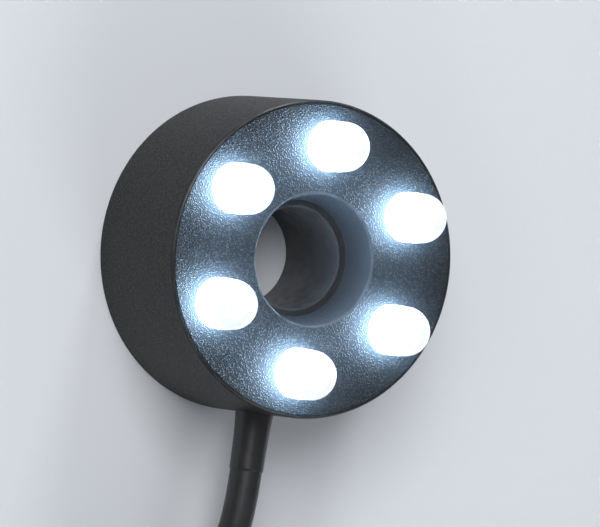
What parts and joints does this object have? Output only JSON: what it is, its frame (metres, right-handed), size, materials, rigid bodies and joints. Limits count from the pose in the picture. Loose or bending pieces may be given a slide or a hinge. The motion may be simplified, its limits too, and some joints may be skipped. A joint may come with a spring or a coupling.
{
  "type": "fountain light",
  "caption": "Round underwater fountain light: a grained plastic ring with bullet LEDs on its face, a stepped bore for a riser pipe, and a coiled low-voltage cable with a barrel plug.",
  "frame": {"origin": "middle of the bore at the flat back", "axes": "+Z along the ring's axis, the way the LEDs shine; the cable leaves towards -Y"},
  "size_m": [0.0616, 0.121, 0.0209],
  "materials": {
    "grained_black_plastic": "fine moulded grain",
    "plain_black_plastic": "smooth satin",
    "seal_rubber": "matte",
    "led_clear": "clear and lit",
    "led_chip": "lit",
    "tinned_metal": "bright tin",
    "solder": "satin",
    "sealing_resin": "cast",
    "board_green": "lacquered",
    "resistor_glaze": "glazed",
    "core_red": "satin",
    "core_black": "satin",
    "natural_nylon": "satin",
    "boot_rubber": "satin",
    "cable_sheath": "satin",
    "tie_plastic": "satin",
    "plug_soft_plastic": "satin",
    "plug_nickel": "bright nickel",
    "contact_brass": "bright"
  },
  "bodies": {
    "root": {"housing": "grained_black_plastic", "back_cover": "plain_black_plastic", "sleeve_gasket": "seal_rubber", "rim_seal": "seal_rubber", "led_1": "led_clear", "led_2": "led_clear", "led_3": "led_clear", "led_4": "led_clear", "led_5": "led_clear", "led_6": "led_clear", "led_cathode_frames": "tinned_metal", "led_anode_frames": "tinned_metal", "led_chips": "led_chip", "led_resin": "sealing_resin", "circuit_board": "board_green", "solder_joints": "solder", "rectifier": "plain_black_plastic", "rectifier_leads": "tinned_metal", "resistors": "resistor_glaze", "resistor_caps": "solder", "wire_red": "core_red", "wire_black": "core_black", "sheath_tie": "natural_nylon", "cable_boot": "boot_rubber", "cable_entry": "cable_sheath", "cable_lead": "cable_sheath", "cable_coil": "cable_sheath", "cable_tail": "cable_sheath", "coil_ties": "tie_plastic", "plug_boot": "plug_soft_plastic", "plug_grip": "plug_soft_plastic", "plug_barrel": "plug_nickel", "plug_insulator": "plain_black_plastic", "plug_contact": "contact_brass"}
  },
  "joints": []
}
